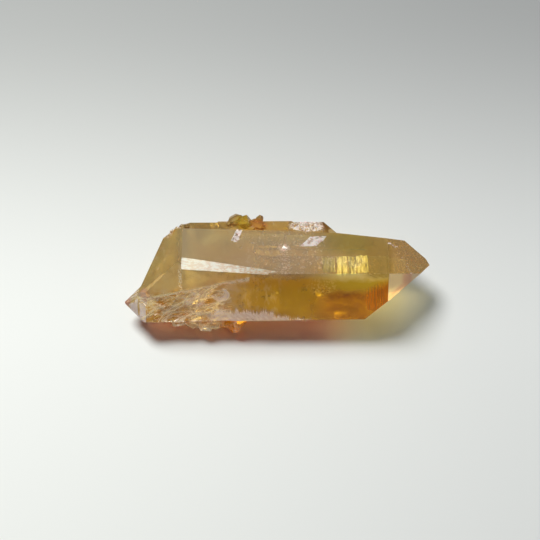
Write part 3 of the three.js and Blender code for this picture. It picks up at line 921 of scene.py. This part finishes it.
def wear(work, weight, relief, direction):
    """Sinks a region against direction, or square to its surface, and marks its crests for pale paint: partly
    wear, partly painted glints.
    """
    work.normal_update()
    worn_and_glint = work.faces.layers.float[WORN_AND_GLINT]
    for face in work.faces:
        spot = face.calc_center_median() / MM - SHIFT
        share = weight(spot)
        if share > 0:
            face[worn_and_glint] = max(face[worn_and_glint], share * relief(spot)[1])
    moves = []
    for vertex in work.verts:
        spot = vertex.co / MM - SHIFT
        share = weight(spot)
        if share > 0:
            moves.append((vertex, (direction or vertex.normal) * share * relief(spot)[0] * MM))
    for vertex, move in moves:
        vertex.co -= move


def edge_angle(edge):
    return edge.calc_face_angle(0) if edge.is_convex else 0


def blunt_edges(work):
    """A narrow strip along the long crystal edges, marked for pale paint that is partly wear and partly a
    painted edge highlight.
    """
    least_angle = math.radians(14)
    least_length = 2.5 * MM
    worn_and_glint = work.faces.layers.float.new(WORN_AND_GLINT)
    sharp = [edge for edge in work.edges if edge_angle(edge) > least_angle]
    edges = [edge for edge in sharp if edge.calc_length() > least_length]
    strips = bmesh.ops.bevel(
        work,
        geom=edges,
        offset=0.14 * MM,
        offset_type="OFFSET",
        segments=1,
        profile=0.5,
        affect="EDGES",
        clamp_overlap=True,
    )
    for face in strips["faces"]:
        face[worn_and_glint] = 1


def cluster_piece(material):
    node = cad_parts[NODE]
    work = bmesh.new()
    work.from_mesh(node.data)
    bmesh.ops.transform(work, matrix=node.matrix_world, verts=work.verts)
    bmesh.ops.remove_doubles(work, verts=work.verts, dist=1e-6)
    bmesh.ops.dissolve_limit(work, angle_limit=math.radians(0.5), verts=work.verts, edges=work.edges)
    blunt_edges(work)
    bmesh.ops.triangulate(work, faces=work.faces)
    # Where it is broken, the longest edge there in mm, its relief, and the direction that it sinks against
    regions = [
        (scar_weight, 0.3, chipped, FRONT_OUT),
        (lump_weight, 0.35, lumpy, None),
        (shoulder_weight, 0.35, sugary, None),
        (druse_weight, 0.3, sugary, None),
    ]
    for weight, longest, _, _ in regions:
        refine(work, weight, longest)
    for weight, _, relief, direction in regions:
        wear(work, weight, relief, direction)
    piece = crystal_piece("quartz", mesh_from(work, "quartz"), material)
    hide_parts(NODE)
    return piece


# Inside the crystal


def inner_material(name, light, dark, metal, grain):
    """A bright inner surface with fine streaks. grain is how many there are in a metre each way."""
    material = bpy.data.materials.new(name)
    material.use_nodes = True
    tree = material.node_tree
    surface = tree.nodes["Principled BSDF"]
    spot = add(tree, "ShaderNodeTexCoord").outputs["Object"]
    stretched = add(tree, "ShaderNodeMapping", Vector=spot, Scale=grain).outputs["Vector"]
    streaks = clouds(tree, stretched, 1.0, 4.0)["Fac"]
    feed(tree, surface.inputs["Base Color"], blend(tree, spread(tree, streaks, 0.35, 0.65), dark, light))
    feed(tree, surface.inputs["Roughness"], spread(tree, streaks, 0.3, 0.7, 0.28, 0.46))
    surface.inputs["Metallic"].default_value = metal
    return material


def add_plate(work, middle, size, turn):
    """A thin closed plate. turn is its rotation matrix."""
    scale = Matrix.Diagonal((*(side * MM for side in size), 1))
    matrix = Matrix.Translation(place(middle)) @ turn @ scale
    bmesh.ops.create_cube(work, size=1.0, matrix=matrix)


def fracture_steps():
    """The steps of an inner break that throws the light back up through the top face."""
    steps = [
        (13.2, 3.2, 4.4, 2.6, 3.0, -3),
        (16.6, 2.7, 5.2, 2.4, -7.0, 2),
        (19.2, 1.9, 5.2, 2.4, -2.0, -2),
        (21.8, 3.0, 5.0, 2.8, -7.0, 3),
    ]
    thickness = 0.1
    depth = 0.9
    work = bmesh.new()
    for x, wide, long, back, lean, roll in steps:
        turn = Matrix.Rotation(math.radians(lean), 4, "Y") @ Matrix.Rotation(math.radians(roll), 4, "X")
        add_plate(work, on_top(x, back + 0.3, depth), (wide, long, thickness), turn)
    bmesh.ops.subdivide_edges(work, edges=work.edges, cuts=11, use_grid_fill=True)
    for vertex in work.verts:
        spot = vertex.co / MM - SHIFT
        vertex.co.z += 0.05 * MM * noise.fractal(Vector((spot.x * 1.5, spot.y * 0.35, 0)), 0.8, 2.0, 3)
        vertex.co.y += 0.45 * MM * noise.noise(Vector((spot.x * 1.1, spot.y * 0.4, 7)))
    return mesh_from(work, "inner_fracture")


def sheet_between(name, first, second, third, fourth):
    """A slightly wavy sheet between four corners, given in order around it as layout points."""
    steps = 10
    work = bmesh.new()
    bmesh.ops.create_grid(work, x_segments=steps, y_segments=steps, size=0.5)
    for vertex in work.verts:
        u, v = vertex.co.x + 0.5, vertex.co.y + 0.5
        spot = first.lerp(second, u).lerp(fourth.lerp(third, u), v)
        vertex.co = place(spot + UP * 0.1 * noise.noise(spot * 1.3))
    return mesh_from(work, name)


def skin_under(name, shell, weight, depth):
    """The stretch of a shell's surface where weight is over a half, moved inwards by some depth."""
    work = bmesh.new()
    work.from_mesh(shell)
    outside = [face for face in work.faces if weight(face.calc_center_median() / MM - SHIFT) < 0.5]
    bmesh.ops.delete(work, geom=outside, context="FACES")
    for vertex in work.verts:
        vertex.co -= vertex.normal * depth * MM
    return mesh_from(work, name)


def scatter_tree():
    """Geometry Nodes: small chips of quartz, scattered over a surface, turned at random or combed one way."""
    inputs = {
        "Geometry": "Geometry",
        "Chips per square mm": ("Float", 1.0),
        "Size": ("Float", 0.3),
        "Shape": ("Vector", (1, 0.6, 0.16)),
        "Tumble": ("Float", 0.5),
        "Combed": ("Float", 0.0),
        "Along": ("Vector", (1, 0, 0)),
        "Seed": ("Int", 1),
        "Finish": "Material",
    }
    tree, given, out = new_group("scatter_chips", inputs, {"Geometry": "Geometry"}, "GeometryNodeTree")
    points = add(tree, "GeometryNodeDistributePointsOnFaces", Mesh=given["Geometry"], Seed=given["Seed"])
    feed(tree, points.inputs["Density"], maths(tree, "MULTIPLY", given["Chips per square mm"], 1 / MM**2))
    chip = add(tree, "GeometryNodeMeshIcoSphere", Radius=1.0, Subdivisions=1)
    flat = add(tree, "GeometryNodeTransform", Geometry=chip.outputs["Mesh"], Scale=given["Shape"])
    combed = {"Rotation": points.outputs["Rotation"], "Factor": given["Combed"], "Vector": given["Along"]}
    lying = add(tree, "FunctionNodeAlignRotationToVector", {"axis": "X", "pivot_axis": "Z"}, **combed)
    low = vectors(tree, "SCALE", (-1, -1, -6), given["Tumble"])
    high = vectors(tree, "SCALE", (1, 1, 6), given["Tumble"])
    turn = add(tree, "FunctionNodeRandomValue", {"data_type": "FLOAT_VECTOR"})
    for index, value in ((0, low), (1, high)):
        feed(tree, turn.inputs[index], value)
    feed(tree, turn.inputs["Seed"], given["Seed"])
    turn = add(tree, "FunctionNodeEulerToRotation", Euler=turn.outputs[0])
    turn = add(tree, "FunctionNodeRotateRotation", {"rotation_space": "LOCAL"}, Rotate_By=turn.outputs[0])
    feed(tree, turn.inputs["Rotation"], lying.outputs["Rotation"])
    share = add(tree, "FunctionNodeRandomValue", {"data_type": "FLOAT"})
    for name, value in (("Min", 0.35), ("Max", 1.0), ("Seed", given["Seed"])):
        socket = next(s for s in share.inputs if s.name == name and s.enabled)
        feed(tree, socket, value)
    share_out = next(s for s in share.outputs if s.enabled)
    size = maths(tree, "MULTIPLY", maths(tree, "MULTIPLY", share_out, given["Size"]), MM)
    places = points.outputs["Points"]
    chips = add(tree, "GeometryNodeInstanceOnPoints", Points=places, Instance=flat.outputs[0])
    feed(tree, chips.inputs["Rotation"], turn.outputs[0])
    feed(tree, chips.inputs["Scale"], size)
    real = add(tree, "GeometryNodeRealizeInstances", Geometry=chips.outputs[0])
    done = add(tree, "GeometryNodeSetMaterial", Geometry=real.outputs[0], Material=given["Finish"])
    tree.links.new(done.outputs[0], out["Geometry"])
    return tree


def scattered(tree, name, mesh, **values):
    """The chips that the tree scatters over a mesh, as a piece of their own."""
    holder = link(bpy.data.objects.new(name, mesh))
    modifier = holder.modifiers.new("scatter", "NODES")
    modifier.node_group = tree
    for item in tree.interface.items_tree:
        if item.in_out == "INPUT" and item.name in values:
            modifier[item.identifier] = values[item.name]
    graph = bpy.context.evaluated_depsgraph_get()
    chips = bpy.data.meshes.new_from_object(holder.evaluated_get(graph))
    bpy.data.objects.remove(holder)
    return crystal_piece(name, chips)


def flecks(scatter, white):
    """Bright flecks and healed cracks just under the upper faces."""
    sheets = [
        ("ridge_rhomb", on_top, [(-10.4, 12.7), (-9, 12.1), (-9.8, 9.1), (-11.7, 10.3)], 0.06, 4, 0.3, 0.35),
        ("ridge_fleck", on_top, [(-9.7, 7.8), (-9, 7.8), (-8.9, 6.8), (-9.6, 6.9)], 0.06, 6, 0.24, 0.4),
        ("far_rhomb", on_top, [(8.3, 10.9), (12.5, 10.9), (9.3, 8), (7, 9.1)], 0.06, 2.5, 0.26, 0.35),
        ("middle_sparkle", on_top, [(0.5, 8.6), (2.5, 8.6), (2.6, 6.8), (0.7, 6.7)], 0.06, 4, 0.28, 0.4),
        ("speckled_plane", on_top, [(0, 9), (3.4, 9), (3.2, 0.2), (1, 0.2)], 0.06, 2.4, 0.18, 0.5),
        ("speckled_front", on_front, [(1, 0.4), (3.6, 0.4), (4.2, 5.4), (2.6, 5.6)], 0.05, 1.0, 0.14, 0.5),
        ("middle_specks", on_top, [(-11, 13), (1, 13), (1, 1.5), (-5, 2)], 0.06, 0.5, 0.15, 0.5),
        ("far_specks", on_top, [(3.4, 9.4), (13, 8), (11, 4), (4, 2)], 0.06, 0.8, 0.16, 0.5),
        ("point_specks", on_point, [(28.6, 5.4), (32, 3.2), (31, 1.8), (28.6, 3.4)], 0.02, 2.0, 0.46, 0.35),
        ("point_arc", on_point, [(31.6, 2.8), (34, -0.6), (33.2, -0.9), (30.8, 2.1)], 0.02, 4, 0.2, 0.5),
        ("point_arc_end", on_point, [(34, -0.6), (35, -3), (34.2, -3), (33.2, -0.9)], 0.02, 4, 0.2, 0.5),
    ]
    for seed, (name, on_face, corners, depth, density, size, tumble) in enumerate(sheets):
        sheet = sheet_between(name, *(on_face(*corner, depth) for corner in corners))
        values = {"Chips per square mm": density, "Size": size, "Tumble": tumble, "Seed": seed + 3}
        scattered(scatter, name, sheet, **values, Finish=white)


def veils(scatter, white):
    """Healed cracks deep in the crystals, which show most from the back and the ends."""
    sheets = [
        ("back_veil", (-24, 4, 5), (-9, 8, 4), (-7, 7, 14), (-22, 3, 15)),
        ("point_veil", (22, -5, 5), (31, 5, 7), (30, 5, 14), (21, -3, 13)),
    ]
    for seed, (name, *corners) in enumerate(sheets):
        sheet = sheet_between(name, *(Vector(corner) for corner in corners))
        values = {"Chips per square mm": 0.5, "Size": 0.24, "Tumble": 0.5, "Seed": seed + 80}
        scattered(scatter, name, sheet, **values, Finish=white)


def fine_cracks(scatter, shell, white, cream):
    """Bright slivers along the cracks: up to the right over the scars, upright in the frosted fern."""
    sliver = [1.0, 0.05, 0.03]
    up_right = list(Vector((0.92, 0, 0)) - 0.39 * FRONT_DOWN)
    upright = list(-FRONT_DOWN)
    fern = sheet_between("fern_needles", *(on_front(x, down, 0.02) for x, down in FERN_CORNERS))
    scars = skin_under("scar_slivers", shell, lambda spot: scar_weight(spot) * (spot.x < -12), 0.0)
    beds = [
        ("scar_slivers", scars, up_right, 0.55, 1.3, 0.04, cream),
        ("fern_needles", fern, upright, 1.2, 0.6, 0.03, white),
    ]
    for seed, (name, sheet, along, density, size, tumble, finish) in enumerate(beds):
        values = {"Chips per square mm": density, "Size": size, "Tumble": tumble, "Seed": seed + 40}
        scattered(scatter, name, sheet, **values, Shape=sliver, Combed=1.0, Along=along, Finish=finish)
    sparkling = {"Chips per square mm": 7.0, "Size": 0.26, "Tumble": 0.5, "Seed": 60, "Finish": white}
    scattered(scatter, "druse_sparkle", skin_under("druse_sparkle", shell, druse_weight, 0.1), **sparkling)


def make_inside(shell):
    across_length = (2000, 420, 420)
    even = (1500, 1500, 1500)
    gold = inner_material("inner_gold", colour(190, 187, 136), colour(120, 112, 58), 1.0, across_length)
    white = inner_material("fleck_white", colour(255, 250, 244), colour(236, 206, 204), 0.0, even)
    cream = inner_material("sliver_cream", colour(255, 243, 200), colour(233, 202, 130), 0.0, even)
    crystal_piece("inner_fracture", fracture_steps(), gold)
    scatter = scatter_tree()
    flecks(scatter, white)
    veils(scatter, cream)
    fine_cracks(scatter, shell, white, cream)


make_camera()
make_lights()
make_floor()
groups = shared_groups()
quartz = cluster_piece(quartz_material(groups))
make_inside(quartz.data)

bpy.context.scene.view_settings.view_transform = "Standard"
cycles = bpy.context.scene.cycles
cycles.max_bounces = LIGHT_BOUNCES
cycles.transmission_bounces = LIGHT_BOUNCES
cycles.transparent_max_bounces = LIGHT_BOUNCES
